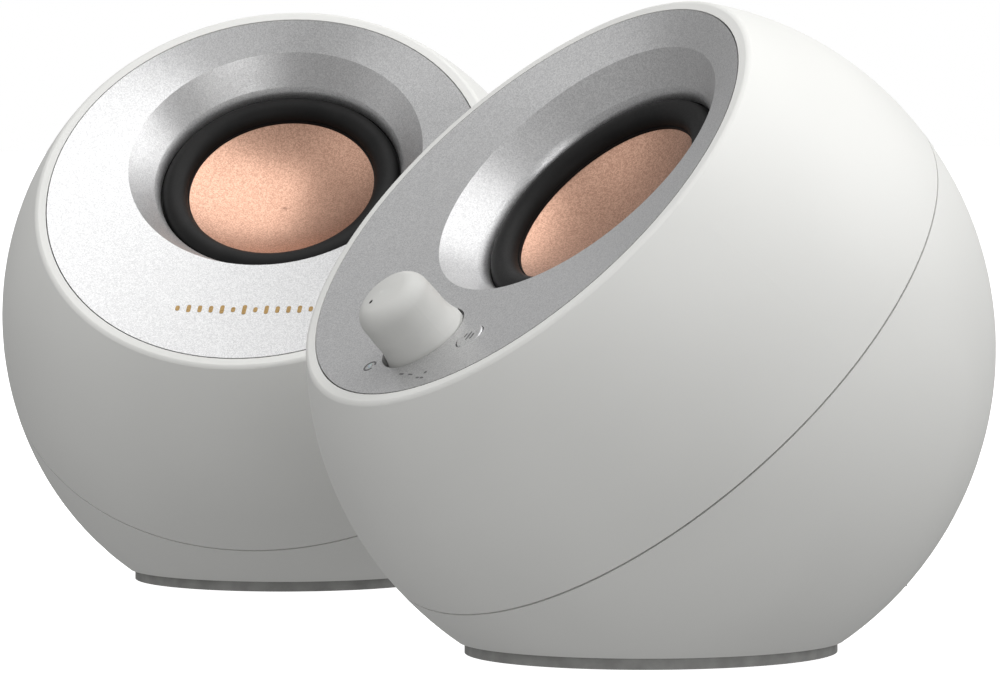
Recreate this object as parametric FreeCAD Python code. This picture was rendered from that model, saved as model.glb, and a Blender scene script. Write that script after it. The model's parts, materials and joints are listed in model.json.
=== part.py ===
import FreeCAD, Part
import math
import os
from FreeCAD import Placement, Rotation, Vector

# A pair of powered desktop speakers. Each one is an egg-shaped shell, cut off flat at the foot and by a
# face plane that looks up at 45 degrees. The right one holds the amplifier, the volume knob, the source
# button, the sockets and the gain switch. All lengths are in millimetres and all angles in degrees.
#
# Two frames are used. The upright frame of a speaker has its origin under the centre of the foot, -Y to
# the front and +Z up. The face frame has its origin in the middle of the face opening, X to the side,
# Y up the slope and Z out of the face, so a depth below the face is a negative Z.

# ---- Body ----
HALF_DEPTH = 61.0        # the body is round in side view
HALF_WIDTH = 57.3        # and a little slimmer from the front
CENTRE_HEIGHT = 52.5     # centre of the egg above the desk
WALL = 2.4               # shell wall
FACE_TILT = 45.0         # the face's normal above the horizon
FACE_OFFSET = 37.6       # centre of the egg to the face plane
SEAM_OFFSET = -0.9       # centre of the egg to the parting plane, along the face's normal
SEAM_GAP = 0.35          # shadow line between the two shells
TONGUE = 3.0             # the rear shell's lip inside the front shell
SQUEEZE = HALF_WIDTH / HALF_DEPTH

# ---- Face opening, plate and waveguide ----
OPENING = 46.0           # half height of the opening, up the slope
RIM_ROUND = 1.1          # rounding of the rim's outer edge
PLATE_GAP = 0.25         # shadow line around the plate
PLATE = 1.6              # plate thickness
LEDGE, LEDGE_HEIGHT = 2.6, 3.0   # the ledge that carries the plate
GLUE = 0.1               # adhesive under the plate
MOUTH_R = 29.25          # waveguide at the plate
MOUTH_UP = 11.25         # driver axis above the middle of the face
MOUTH_DEPTH = 3.8
THROAT_R = 24.0          # waveguide at the driver
THROAT_DEPTH = 11.6
THROAT_LIP = 0.2         # straight end of the funnel
THROAT_ROUND = 4.0       # rounding of the throat's edge
FLARE_ANGLE = 38.0       # the funnel's wall to the driver's axis

# ---- Driver, turned about its own axis; depths are below the face plane ----
CONE_R = 19.2            # outer edge of the metal diaphragm, bonded under the surround's inner lip
DISH_R = 18.45           # edge of its dish
DISH = 5.0               # how far the diaphragm is dished
CONE_SKIN = 0.35
OUTER_LIP_DEPTH = 12.15  # upper side of the surround's outer lip
INNER_LIP_DEPTH = 12.75  # upper side of its inner lip
ROLL_MID_R, ROLL_R = 21.2, 2.5
RUBBER = 0.45
CONE_DEPTH = INNER_LIP_DEPTH + RUBBER
FLANGE_R, FLANGE_DEPTH, FLANGE = 28.5, 12.6, 1.5
EAR_R, EAR_AT = 3.6, 29.6
COIL_R = 9.9
COIL_BOTTOM = 33.5
SPIDER_DEPTH = 22.7
MOTOR_DEPTH = 28.2       # front of the top plate
TOP_PLATE, MAGNET, BACK_PLATE = 3.0, 7.0, 3.0
POLE_R, GAP_R = 9.4, 11.0
MOTOR_R, MAGNET_R = 16.5, 17.5
BAFFLE = 2.4             # inner wall that carries the driver

# ---- Controls on the right face plate, at (sideways, up the slope) ----
KNOB_AT = (0.0, -31.0)
KNOB_R, KNOB_GRIP_R = 7.6, 6.8        # foot and grip
KNOB_SHOULDER = 5.9      # height where the side runs into the shoulder
SHOULDER_R = 3.2
KNOB_BOTTOM = -3.6
KNOB_GAP = 0.45
WELL_DEPTH = 4.4         # floor of the well that the knob turns in
POINTER_TURN = 245.0     # where the pointer stands, anticlockwise from the right
POINTER_AT, POINTER_R = 2.7, 0.42
BUTTON_AT = (13.9, -30.3)
BUTTON_R = 2.65
BUTTON_TRAVEL = 0.6
GUIDE_DEPTH = 6.4        # lower end of the tube that guides the button
LED_AT = (-6.5, -39.1)
LED_R = 0.55
BOARD = 1.6
CONTROL_BOARD_DEPTH = 12.5

# ---- Passive radiator on the back, about a level axis through the centre of the egg ----
SEAT_Y = 52.6            # outer side of the seat
SEAT = 2.2
RADIATOR_HOLE_R, RADIATOR_SEAT_R = 22.8, 27.5
FRAME_R, FRAME_IN_R, FRAME = 24.5, 19.5, 1.8
RADIATOR_R = 14.6
RADIATOR_PLATE = 1.4
RADIATOR_DROP = 0.5      # the moving plate's seat below the frame's
WEIGHT_R, WEIGHT = 6.0, 3.0     # the mass moulded on the radiator's inner side

# ---- Foot ----
FOOT = 2.0               # foot ring thickness, also the height of the shell's flat underside
FOOT_HALF_DEPTH = 33.1
FOOT_INNER_R = 21.5
FLOOR_TOP = 6.0
BASE_PLATE_R, BASE_PLATE = 25.8, 1.6
BASE_HOLE_R = 22.0
BASE_SCREW_AT = 23.9

# ---- Socket pocket low on the back ----
POCKET_X, POCKET_LOW, POCKET_HIGH, POCKET_Y = 17.0, 10.0, 25.0, 44.6
WINDOW_X, WINDOW_LOW, WINDOW_HIGH = 15.5, 11.5, 23.5
PANEL_Y = 42.6
SOCKET_Z = 17.5
SOCKET_R, SOCKET_LENGTH = 1.8, 14.0
GLAND_X = 10.0
AUX_X = 1.3
GLAND_TAIL = 3.4         # the sleeve beyond the panel
USB_BORE_R, LINK_BORE_R = 2.1, 1.7

# ---- Where the two speakers stand: (x, y, turn about the vertical) ----
RIGHT_AT = (82.4, 1.0, 8.6)
LEFT_AT = (-79.9, 1.0, 56.5)

CENTRE = Vector(0, 0, CENTRE_HEIGHT)
TILT = Rotation(Vector(1, 0, 0), 90 - FACE_TILT)
FACE = Placement(CENTRE + TILT.multVec(Vector(0, 0, FACE_OFFSET)), TILT)
BACK = Placement(CENTRE, Rotation(Vector(1, 0, 0), -90))   # Z of this frame points to the back
UP_AXIS = Vector(0, 0, 1)
FAR = 200.0


# ---- Small tools ----
def moved(shape, placement):
    """A copy of the shape carried into another frame."""
    copy = shape.copy()
    copy.Placement = placement.multiply(copy.Placement)
    return copy


def disc(radius, low, high, at=(0, 0)):
    return Part.makeCylinder(radius, high - low, Vector(at[0], at[1], low))


def ring(inner, outer, low, high, at=(0, 0)):
    return disc(outer, low, high, at).cut(disc(inner, low - 1, high + 1, at))


def taper(low_r, high_r, low, high, at=(0, 0)):
    return Part.makeCone(low_r, high_r, high - low, Vector(at[0], at[1], low))


def block(x, y, z):
    """A box between two values along each axis."""
    return Part.makeBox(x[1] - x[0], y[1] - y[0], z[1] - z[0], Vector(x[0], y[0], z[0]))


def fused(shapes):
    first, *others = shapes
    return first.fuse(others).removeSplitter() if others else first


def around(shape, turns, centre=(0, 0)):
    """Copies of a shape turned about an axis along Z."""
    copies = []
    for turn in turns:
        copy = shape.copy()
        copy.rotate(Vector(centre[0], centre[1], 0), UP_AXIS, turn)
        copies.append(copy)
    return copies


def outline(start, *steps):
    """A closed profile of (radius, height) points. A step of two points is an arc through the first."""
    here = Vector(start[0], 0, start[1])
    first = here
    edges = []
    for step in steps:
        if isinstance(step[0], tuple):
            through, end = (Vector(r, 0, z) for r, z in step)
            edges.append(Part.Arc(here, through, end).toShape())
        else:
            end = Vector(step[0], 0, step[1])
            edges.append(Part.makeLine(here, end))
        here = end
    if here.distanceToPoint(first) > 1e-6:
        edges.append(Part.makeLine(here, first))
    return Part.Face(Part.Wire(edges))


def cap_step(radius, edge, rise):
    """The step of an outline that runs from (radius, edge) to the axis along a ball, rise higher."""
    ball_r = (radius ** 2 + rise ** 2) / (2 * rise)
    middle = edge + rise - ball_r
    half = radius / 2
    return ((half, middle + math.copysign(math.sqrt(ball_r ** 2 - half ** 2), rise)), (0, edge + rise))


def turned(profile, at=(0, 0)):
    solid = profile.revolve(Vector(0, 0, 0), UP_AXIS, 360)
    solid.translate(Vector(at[0], at[1], 0))
    return solid


def oval_wire(half_height, height, squeeze=SQUEEZE):
    """An oval that is slimmer along X, as every section of the body is."""
    middle = Vector(0, 0, height)
    top = middle + Vector(0, half_height, 0)
    side = middle + Vector(-half_height * squeeze, 0, 0)
    return Part.Wire([Part.Ellipse(top, side, middle).toShape()])


def oval(half_height, low, high, squeeze=SQUEEZE):
    return Part.Face(oval_wire(half_height, low, squeeze)).extrude(Vector(0, 0, high - low))


def squeezed(shape):
    """The slimmer form: everything drawn in here closes up along X, so a ball becomes the body's egg."""
    matrix = FreeCAD.Matrix()
    matrix.scale(SQUEEZE, 1, 1)
    return shape.transformGeometry(matrix)


def ball(inset, centre):
    return Part.makeSphere(HALF_DEPTH - inset, centre)


def screw(head_r, head, shank_r, length, at, top):
    """A pan head screw whose head's underside is at the height top, pointing down."""
    body = disc(shank_r, top - length, top, at)
    cap = turned(outline((0, 0), (head_r, 0), (head_r, head * 0.4), ((head_r * 0.75, head * 0.9), (0, head))))
    cap.translate(Vector(at[0], at[1], top))
    slot = block((-head_r * 0.55, head_r * 0.55), (-0.25, 0.25), (head * 0.45, head + 1))
    cross = slot.fuse(around(slot, [90]))
    cross.translate(Vector(at[0], at[1], top))
    return body.fuse(cap).removeSplitter().cut(cross)


# ---- Shells ----
FACE_CENTRE = Vector(0, 0, -FACE_OFFSET)        # centre of the egg in the face frame
SEAM = -FACE_OFFSET + SEAM_OFFSET               # height of the parting plane in the face frame
BAFFLE_TOP = -(FLANGE_DEPTH + FLANGE)
AXIS = (0, MOUTH_UP)
EAR_TURNS = (45, 135, 225, 315)
SHELL_SCREWS = ((37.0, 9.0), (-37.0, 9.0), (30.5, -22.5), (-30.5, -22.5))
POST_R = 3.4
SHELL_SCREW_R = 1.4
EAR_POINTS = tuple(
    (EAR_AT * math.cos(math.radians(t)), MOUTH_UP + EAR_AT * math.sin(math.radians(t))) for t in EAR_TURNS
)
EAR_SCREW_R = 1.25
FLARE_TURN = (math.radians(FLARE_ANGLE / 2), math.radians(FLARE_ANGLE))


def slab(low, high):
    """Everything between two heights."""
    return block((-FAR, FAR), (-FAR, FAR), (low, high))


def front_shell():
    """The face half: a rounded rim, a ledge for the plate and an inner wall that carries the driver."""
    lump = ball(0, FACE_CENTRE).common(slab(SEAM + SEAM_GAP / 2, 0))
    lump = lump.makeFillet(RIM_ROUND, [e for e in lump.Edges if e.BoundBox.ZMin > -1e-6])
    hollow = ball(WALL, FACE_CENTRE).common(slab(-FAR, -PLATE - LEDGE_HEIGHT))
    hollow = hollow.fuse([disc(OPENING - LEDGE, -PLATE - 6, 1), disc(OPENING, -PLATE - GLUE, 1)])
    hollow = squeezed(hollow.cut(slab(BAFFLE_TOP - BAFFLE, BAFFLE_TOP)))
    bosses = [disc(2.6, BAFFLE_TOP - 6, BAFFLE_TOP - 1, at) for at in EAR_POINTS]
    shell = squeezed(lump).cut(hollow.cut(bosses))
    holes = [disc(EAR_SCREW_R, -FAR, 0, at) for at in EAR_POINTS]
    holes += [disc(SHELL_SCREW_R + 0.3, -FAR, 0, at) for at in SHELL_SCREWS]
    holes += [disc(FLANGE_R - 2.9, -FAR, 0, AXIS), waveguide(PLATE_GAP), dish(PLATE + GLUE, OPENING)]
    return moved(shell.cut(holes), FACE)


def rear_shell(with_board):
    """The back half, with a tongue for the front half, the foot, the radiator seat and the socket pocket."""
    below = moved(slab(-FAR, SEAM - SEAM_GAP / 2), FACE)
    lump = ball(0, CENTRE).common(below)
    tongue = ball(WALL + 0.15, CENTRE).common(moved(slab(SEAM - 3.0, SEAM + TONGUE), FACE))
    hollow = ball(WALL, CENTRE).common(moved(slab(-FAR, SEAM - 2.0), FACE))
    hollow = hollow.fuse(ball(WALL + 1.35, CENTRE).common(moved(slab(SEAM - 2.5, FAR), FACE)))
    lump = squeezed(lump.fuse(tongue).cut(slab(-FAR, FOOT)))
    hollow = squeezed(hollow.removeSplitter().cut(slab(-FAR, FLOOR_TOP)))
    inside = [moved(disc(RADIATOR_SEAT_R, SEAT_Y - SEAT, FAR), BACK), pocket_walls()]
    inside += [moved(disc(POST_R, -FAR, BAFFLE_TOP - BAFFLE, at), FACE) for at in SHELL_SCREWS]
    cuts = [
        disc(BASE_PLATE_R + 0.2, 0, FOOT + BASE_PLATE),
        disc(BASE_HOLE_R, 0, FLOOR_TOP + 1),
        moved(disc(FRAME_R + 0.3, SEAT_Y, FAR), BACK),
        moved(disc(RADIATOR_HOLE_R, SEAT_Y - SEAT - 1, FAR), BACK),
        block((-POCKET_X, POCKET_X), (POCKET_Y, FAR), (POCKET_LOW, POCKET_HIGH)),
        block((-WINDOW_X, WINDOW_X), (PANEL_Y - 1, FAR), (WINDOW_LOW, WINDOW_HIGH)),
        block((-PANEL_X - 0.1, PANEL_X + 0.1), (PANEL_Y - 12, PANEL_Y), (PANEL_LOW - 0.1, PANEL_HIGH + 0.1)),
    ]
    cuts += [disc(1.0, 0, FLOOR_TOP + 1, at) for at in BASE_SCREWS]
    cuts += [moved(disc(SHELL_SCREW_R, -36, 0, at), FACE) for at in SHELL_SCREWS]
    if with_board:
        inside += [disc(2.7, FLOOR_TOP - 1, BOARD_BOTTOM, at) for at in BOARD_SCREWS]
        cuts += [disc(0.95, FLOOR_TOP - 1, BOARD_BOTTOM + 1, at) for at in BOARD_SCREWS]
    return lump.cut(hollow.cut(inside)).cut(cuts)


def pocket_walls():
    """The boxed-in recess for the sockets, open to the inside where the panel sits."""
    wall = 1.8
    box = block(
        (-POCKET_X - wall, POCKET_X + wall), (PANEL_Y, FAR), (POCKET_LOW - wall, POCKET_HIGH + wall)
    )
    return box


# ---- Face plate and waveguide ----
def dish(drop, edge):
    """The shallow dish from the plate's oval edge down to the round mouth, lowered by drop."""
    mouth = Part.Wire([Part.makeCircle(MOUTH_R, Vector(0, MOUTH_UP, -MOUTH_DEPTH - drop))])
    mouth.rotate(Vector(0, MOUTH_UP, 0), UP_AXIS, 90)
    return Part.makeLoft([mouth, oval_wire(edge, -drop)], True, True)


def flare(grow, low):
    """The inside of the waveguide, a straight funnel with a rounded throat, or the form outside it."""
    round_at = [(THROAT_ROUND * (1 - math.cos(t)), THROAT_ROUND * math.sin(t)) for t in FLARE_TURN]
    half, start = [(THROAT_R + grow + run, -THROAT_DEPTH + rise) for run, rise in round_at]
    return turned(
        outline(
            (0, -MOUTH_DEPTH - grow),
            (MOUTH_R + grow, -MOUTH_DEPTH - grow),
            start,
            (half, (THROAT_R + grow, -THROAT_DEPTH)),
            (THROAT_R + grow, low),
            (0, low),
        ),
        AXIS,
    )


def waveguide(clearance):
    """The plate's underside and its funnel as one lump, grown by a clearance: the room that it takes."""
    return flare(PLATE + clearance, -THROAT_DEPTH - THROAT_LIP - clearance)


def face_plate(with_controls):
    """A thin dished plate whose round mouth runs on into the waveguide, set high on the face."""
    edge = OPENING - PLATE_GAP
    lump = fused([oval(edge, -PLATE, 0), dish(PLATE, edge), waveguide(0)])
    holes = [dish(0, edge), flare(0, -FAR)]
    if with_controls:
        well = disc(KNOB_R + KNOB_GAP + 1.0, -WELL_DEPTH - 1.0, -1.6, KNOB_AT)
        guide = disc(BUTTON_R + 1.2, -GUIDE_DEPTH, -2.4, BUTTON_AT)
        sleeve = disc(LED_R + 1.0, -4.4, -1.4, LED_AT)
        lump = fused([lump, well, guide, sleeve])
        holes += [
            disc(KNOB_R + KNOB_GAP, -WELL_DEPTH, 5, KNOB_AT),
            disc(3.8, -8, 5, KNOB_AT),
            disc(BUTTON_R + 0.15, -8, 5, BUTTON_AT),
            disc(LED_R, -8, 5, LED_AT),
        ]
    for hole in holes:
        lump = lump.cut(hole)
    return lump


# ---- Driver ----
def dish_arc(radius, drop):
    """Depth of the dished diaphragm at a radius."""
    ball_r = (DISH_R ** 2 + DISH ** 2) / (2 * DISH)
    return -(CONE_DEPTH + drop + DISH - ball_r + math.sqrt(ball_r ** 2 - radius ** 2))


def driver_cone():
    half = DISH_R * 0.55
    return turned(
        outline(
            (0, dish_arc(0, 0)),
            ((half, dish_arc(half, 0)), (DISH_R, dish_arc(DISH_R, 0))),
            (CONE_R, -CONE_DEPTH),
            (CONE_R, -CONE_DEPTH - CONE_SKIN),
            (DISH_R, dish_arc(DISH_R, CONE_SKIN)),
            ((half, dish_arc(half, CONE_SKIN)), (0, dish_arc(0, CONE_SKIN))),
        ),
        AXIS,
    )


def voice_coil():
    former = ring(COIL_R, COIL_R + 0.25, -COIL_BOTTOM, dish_arc(COIL_R, CONE_SKIN) - 0.08, AXIS)
    winding = ring(COIL_R + 0.2, COIL_R + 0.65, -COIL_BOTTOM + 0.5, -COIL_BOTTOM + 6.5, AXIS)
    return former.fuse(winding).removeSplitter()


def roll(mid_r, big, outer_top, inner_top, outer_lip, inner_lip, axis_at):
    """A half roll of rubber with a flat lip on each side, each at its own height."""
    small = big - RUBBER
    crown = (outer_top + inner_top) / 2 + big
    return turned(
        outline(
            (inner_lip, inner_top - RUBBER),
            (mid_r - small, inner_top - RUBBER),
            ((mid_r, crown - RUBBER), (mid_r + small, outer_top - RUBBER)),
            (outer_lip, outer_top - RUBBER),
            (outer_lip, outer_top),
            (mid_r + big, outer_top),
            ((mid_r, crown), (mid_r - big, inner_top)),
            (inner_lip, inner_top),
        ),
        axis_at,
    )


def driver_surround():
    return roll(ROLL_MID_R, ROLL_R, -OUTER_LIP_DEPTH, -INNER_LIP_DEPTH, 26.6, DISH_R + 0.02, AXIS)


def spider():
    """The corrugated suspension disc between the coil and the basket."""
    pitch, high, inner, skin = 1.3, 0.55, COIL_R + 0.7, 0.4
    count = 5
    base = -SPIDER_DEPTH
    top, bottom = [], []
    for i in range(count):
        r = inner + 0.9 + i * pitch
        rise = high if i % 2 == 0 else -high * 0.4
        top.append(((r + pitch / 2, base + skin + rise), (r + pitch, base + skin)))
        bottom.append(((r + pitch / 2, base + rise), (r, base)))
    end = inner + 0.9 + count * pitch
    steps = [(inner + 0.9, base + skin)] + top + [(20.6, base + skin), (20.6, base), (end, base)] + bottom[::-1]
    return turned(outline((inner, base + skin), *steps, (inner, base)), AXIS)


def basket():
    top = -FLANGE_DEPTH
    frame = turned(
        outline(
            (24.2, top),
            (FLANGE_R, top),
            (FLANGE_R, top - FLANGE),
            (25.3, top - FLANGE),
            (22.0, -SPIDER_DEPTH - 1.1),
            (18.4, -SPIDER_DEPTH - 1.1),
            (17.6, -MOTOR_DEPTH),
            (GAP_R + 0.6, -MOTOR_DEPTH),
            (GAP_R + 0.6, -MOTOR_DEPTH + 1.0),
            (16.6, -MOTOR_DEPTH + 1.0),
            (17.4, -SPIDER_DEPTH),
            (21.0, -SPIDER_DEPTH),
        ),
        AXIS,
    )
    ears = [disc(EAR_R, top - FLANGE, top, at) for at in EAR_POINTS]
    frame = frame.fuse(ears).removeSplitter()
    window = block((17.5, 29.0), (MOUTH_UP - 8.5, MOUTH_UP + 8.5), (-SPIDER_DEPTH + 0.9, top - FLANGE - 0.9))
    for tool in around(window, (0, 90, 180, 270), AXIS) + [disc(1.5, -FAR, 0, at) for at in EAR_POINTS]:
        frame = frame.cut(tool)
    terminal = block((22.6, 24.6), (MOUTH_UP - 4.0, MOUTH_UP + 4.0), (-21.4, -16.2))
    return frame.fuse(around(terminal, [45], AXIS)).removeSplitter()


def pole_yoke():
    low = -(MOTOR_DEPTH + TOP_PLATE + MAGNET)
    plate = disc(MOTOR_R, low - BACK_PLATE, low, AXIS)
    pole = disc(POLE_R, low, -MOTOR_DEPTH, AXIS)
    rounded = plate.fuse(pole).removeSplitter()
    return rounded.cut(disc(2.5, -FAR, 0, AXIS))


def driver_parts():
    low = -(MOTOR_DEPTH + TOP_PLATE)
    made = {
        "driver_cone": driver_cone(),
        "voice_coil": voice_coil(),
        "driver_surround": driver_surround(),
        "spider": spider(),
        "driver_basket": basket(),
        "top_plate": ring(GAP_R, MOTOR_R, low, -MOTOR_DEPTH, AXIS),
        "magnet": ring(GAP_R + 1.5, MAGNET_R, low - MAGNET, low, AXIS),
        "pole_yoke": pole_yoke(),
        "driver_gasket": ring(THROAT_R + 0.3, 26.5, -OUTER_LIP_DEPTH, -THROAT_DEPTH - THROAT_LIP, AXIS),
        "driver_screws": Part.makeCompound(
            [screw(2.4, 1.5, EAR_SCREW_R - 0.05, 7.0, at, -FLANGE_DEPTH) for at in EAR_POINTS]
        ),
        "shell_screws": Part.makeCompound(
            [screw(2.7, 1.8, SHELL_SCREW_R - 0.05, 16.0, at, BAFFLE_TOP) for at in SHELL_SCREWS]
        ),
    }
    return {name: moved(shape, FACE) for name, shape in made.items()}


# ---- Passive radiator ----
def radiator_parts():
    frame = turned(
        outline(
            (FRAME_IN_R, SEAT_Y),
            (FRAME_R, SEAT_Y),
            (FRAME_R, SEAT_Y + FRAME - 0.5),
            (FRAME_R - 0.5, SEAT_Y + FRAME),
            (FRAME_IN_R + 0.8, SEAT_Y + FRAME),
            (FRAME_IN_R, SEAT_Y + 0.8),
        )
    )
    inner_top = SEAT_Y - RADIATOR_DROP
    rim = RADIATOR_R - 1.0
    plate = turned(
        outline(
            (0, inner_top),
            (RADIATOR_R + 0.1, inner_top),
            (RADIATOR_R + 0.1, inner_top + 0.6),
            (rim, inner_top + RADIATOR_PLATE),
            cap_step(rim, inner_top + RADIATOR_PLATE, -0.7),
        )
    )
    plate = plate.fuse(disc(WEIGHT_R, inner_top - WEIGHT, inner_top)).removeSplitter()
    mid = (RADIATOR_R + FRAME_IN_R) / 2
    made = {
        "radiator_frame": frame,
        "radiator_surround": roll(
            mid, mid - RADIATOR_R - 0.3, SEAT_Y, inner_top, 22.5, RADIATOR_R - 1.4, (0, 0)
        ),
        "radiator_plate": plate,
    }
    return {name: moved(shape, BACK) for name, shape in made.items()}


# ---- Foot ----
BASE_SCREWS = tuple(
    (BASE_SCREW_AT * math.cos(math.radians(t)), BASE_SCREW_AT * math.sin(math.radians(t))) for t in (90, 210, 330)
)
SWITCH_SLOT = (2.7, 1.25)     # half length and half width of the slot for the gain slider
SLIDER_TRAVEL = 2.4


def foot_parts(with_switch):
    top = FOOT + BASE_PLATE
    plate = disc(BASE_PLATE_R, FOOT, top)
    stiffener = ring(14.0, 15.6, top, top + 1.8)
    plate = plate.fuse(stiffener).removeSplitter()
    for at in BASE_SCREWS:
        plate = plate.cut(disc(1.35, 0, top + 1, at)).cut(taper(2.3, 1.35, FOOT, FOOT + 1.0, at))
    if with_switch:
        half_x, half_y = SWITCH_SLOT
        plate = plate.cut(block((-half_x, half_x), (-half_y, half_y), (0, top + 1)))
    foot = oval(FOOT_HALF_DEPTH, 0, FOOT).cut(oval(FOOT_INNER_R, -1, FOOT + 1))
    screws = [
        taper(2.2, 1.25, FOOT + 0.05, FOOT + 1.05, at).fuse(disc(0.95, FOOT + 1.0, FLOOR_TOP + 0.5, at))
        for at in BASE_SCREWS
    ]
    return {
        "base_plate": plate,
        "foot_ring": foot,
        "base_screws": Part.makeCompound([s.removeSplitter() for s in screws]),
    }


# ---- Sockets and cable glands ----
PANEL = 1.8
PANEL_X = POCKET_X + 0.5
PANEL_LOW, PANEL_HIGH = WINDOW_LOW - 1.0, POCKET_HIGH + 0.4
PAD_Y = POCKET_Y - 0.4      # outer face of the panel


def facing_back(shape, x, z):
    """Carries a piece turned about Z so that it points to the back at (x, z)."""
    return moved(shape, Placement(Vector(x, 0, z), Rotation(Vector(1, 0, 0), -90)))


def socket_panel(holes_at):
    plate = block((-PANEL_X, PANEL_X), (PANEL_Y - PANEL, PANEL_Y), (PANEL_LOW, PANEL_HIGH))
    pad = block((-WINDOW_X + 0.2, WINDOW_X - 0.2), (PANEL_Y, PAD_Y), (WINDOW_LOW + 0.2, WINDOW_HIGH - 0.2))
    panel = plate.fuse(pad).removeSplitter()
    for x in holes_at:
        panel = panel.cut(facing_back(disc(3.05, PANEL_Y - 5, FAR), x, SOCKET_Z))
    return panel


def cable_gland(x, bore_r):
    inside, outside = PANEL_Y - PANEL, PAD_Y
    sleeve = outline(
        (bore_r, inside - 1.4),
        (4.2, inside - 1.4),
        (4.2, inside),
        (3.0, inside),
        (3.0, outside),
        (3.8, outside),
        (3.8, outside + 0.9),
        ((3.1, outside + 1.9), (2.8, outside + GLAND_TAIL)),
        (bore_r, outside + GLAND_TAIL),
    )
    return facing_back(turned(sleeve), x, SOCKET_Z)


BOARD_TOP = 14.2
BOARD_BOTTOM = BOARD_TOP - BOARD
BOARD_SCREWS = ((19.5, -15.5), (-19.5, -15.5), (19.5, 16.5), (-19.5, 16.5))


def aux_jack():
    mouth = POCKET_Y
    inside = PANEL_Y - PANEL
    case = block((AUX_X - 3.7, AUX_X + 3.7), (inside - 12.0, inside), (BOARD_TOP, SOCKET_Z + 3.4))
    nose = facing_back(disc(3.0, inside, mouth), AUX_X, SOCKET_Z)
    bore = facing_back(disc(SOCKET_R, mouth - SOCKET_LENGTH, mouth + 1), AUX_X, SOCKET_Z)
    return case.fuse(nose).removeSplitter().cut(bore)


def amplifier_parts():
    board = block((-23, 23), (-20, 21), (BOARD_BOTTOM, BOARD_TOP)).fuse(
        block((-15, 15), (20, 35.5), (BOARD_BOTTOM, BOARD_TOP))
    )
    board = board.removeSplitter()
    for at in BOARD_SCREWS:
        board = board.cut(disc(1.1, 0, FAR, at))
    can_at = ((-12.0, 12.5), (12.0, 12.5))
    cans = [disc(4.0, BOARD_TOP, BOARD_TOP + 8.0, at) for at in can_at]
    coils = [block((x - 3.5, x + 3.5), (-1.0, 6.0), (BOARD_TOP, BOARD_TOP + 3.2)) for x in (-10.0, 0.0, 10.0)]
    chip = block((-4.0, 4.0), (-14.0, -6.0), (BOARD_TOP, BOARD_TOP + 1.2))
    plug_in = block((-19.0, -13.0), (-8.0, -4.0), (BOARD_TOP, BOARD_TOP + 5.0))
    return {
        "amplifier_board": board,
        "board_parts": Part.makeCompound(cans + coils + [chip, plug_in]),
        "board_screws": Part.makeCompound([screw(1.9, 1.2, 0.93, 6.0, at, BOARD_TOP) for at in BOARD_SCREWS]),
        "aux_jack": aux_jack(),
    }


def gain_switch_parts():
    top = FOOT + BASE_PLATE
    half_x, half_y = SWITCH_SLOT
    case = block((-5.6, 5.6), (-2.7, 2.7), (top, top + 4.6))
    case = case.cut(block((-half_x, half_x), (-half_y, half_y), (top - 1, top + 2.2)))
    left = -SLIDER_TRAVEL / 2
    slider = block((left - 1.3, left + 1.3), (-1.1, 1.1), (FOOT - 0.9, top + 2.0))
    for x in (-0.7, 0.0, 0.7):
        slider = slider.cut(block((left + x - 0.15, left + x + 0.15), (-2, 2), (0, FOOT - 0.6)))
    return {"gain_switch": case, "gain_slider": slider}


# ---- Controls behind the right face plate ----
def plate_depth(x, y):
    """Depth of the dished plate under a point below the mouth, along the straight line from its centre."""
    run = math.hypot(x, y - MOUTH_UP)
    ux, uy = x / run, (y - MOUTH_UP) / run
    a = (ux / SQUEEZE) ** 2 + uy ** 2
    b = 2 * MOUTH_UP * uy
    c = MOUTH_UP ** 2 - OPENING ** 2
    reach = (-b + math.sqrt(b * b - 4 * a * c)) / (2 * a)
    return MOUTH_DEPTH * (reach - run) / (reach - MOUTH_R)


def volume_knob():
    """A knob with a flared foot and a domed crown, hollow below, with a D bore for the shaft."""
    side = KNOB_GRIP_R - SHOULDER_R
    turns = [math.radians(t) for t in (40, 78)]
    half, crown = [(side + SHOULDER_R * math.cos(t), KNOB_SHOULDER + SHOULDER_R * math.sin(t)) for t in turns]
    body = turned(
        outline(
            (0, KNOB_BOTTOM),
            (KNOB_R, KNOB_BOTTOM),
            (KNOB_R, -2.3),
            ((KNOB_R - 0.5, -0.6), (KNOB_GRIP_R + 0.12, 2.4)),
            (KNOB_GRIP_R, KNOB_SHOULDER),
            (half, crown),
            cap_step(*crown, 0.45),
        ),
        KNOB_AT,
    )
    hollow = disc(KNOB_GRIP_R - 1.3, KNOB_BOTTOM - 1, 2, KNOB_AT).cut(disc(4.4, KNOB_BOTTOM - 2, 3, KNOB_AT))
    return body.cut(hollow).cut(d_shaft(3.02, KNOB_BOTTOM - 1, 5.4, 1.53)).cut(pointer(KNOB_CROWN + 1))


def d_shaft(radius, low, high, flat):
    """A round shaft with one flat."""
    cut_off = block((-FAR, FAR), (flat, FAR), (low - 1, high + 1))
    cut_off.translate(Vector(KNOB_AT[0], KNOB_AT[1], 0))
    return disc(radius, low, high, KNOB_AT).cut(cut_off)


KNOB_CROWN = KNOB_SHOULDER + SHOULDER_R


def pointer(top):
    """The round pointer let into the knob's crown, up to a height."""
    turn = math.radians(POINTER_TURN)
    at = (KNOB_AT[0] + POINTER_AT * math.cos(turn), KNOB_AT[1] + POINTER_AT * math.sin(turn))
    return disc(POINTER_R, KNOB_CROWN - 1.0, top, at)


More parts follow.
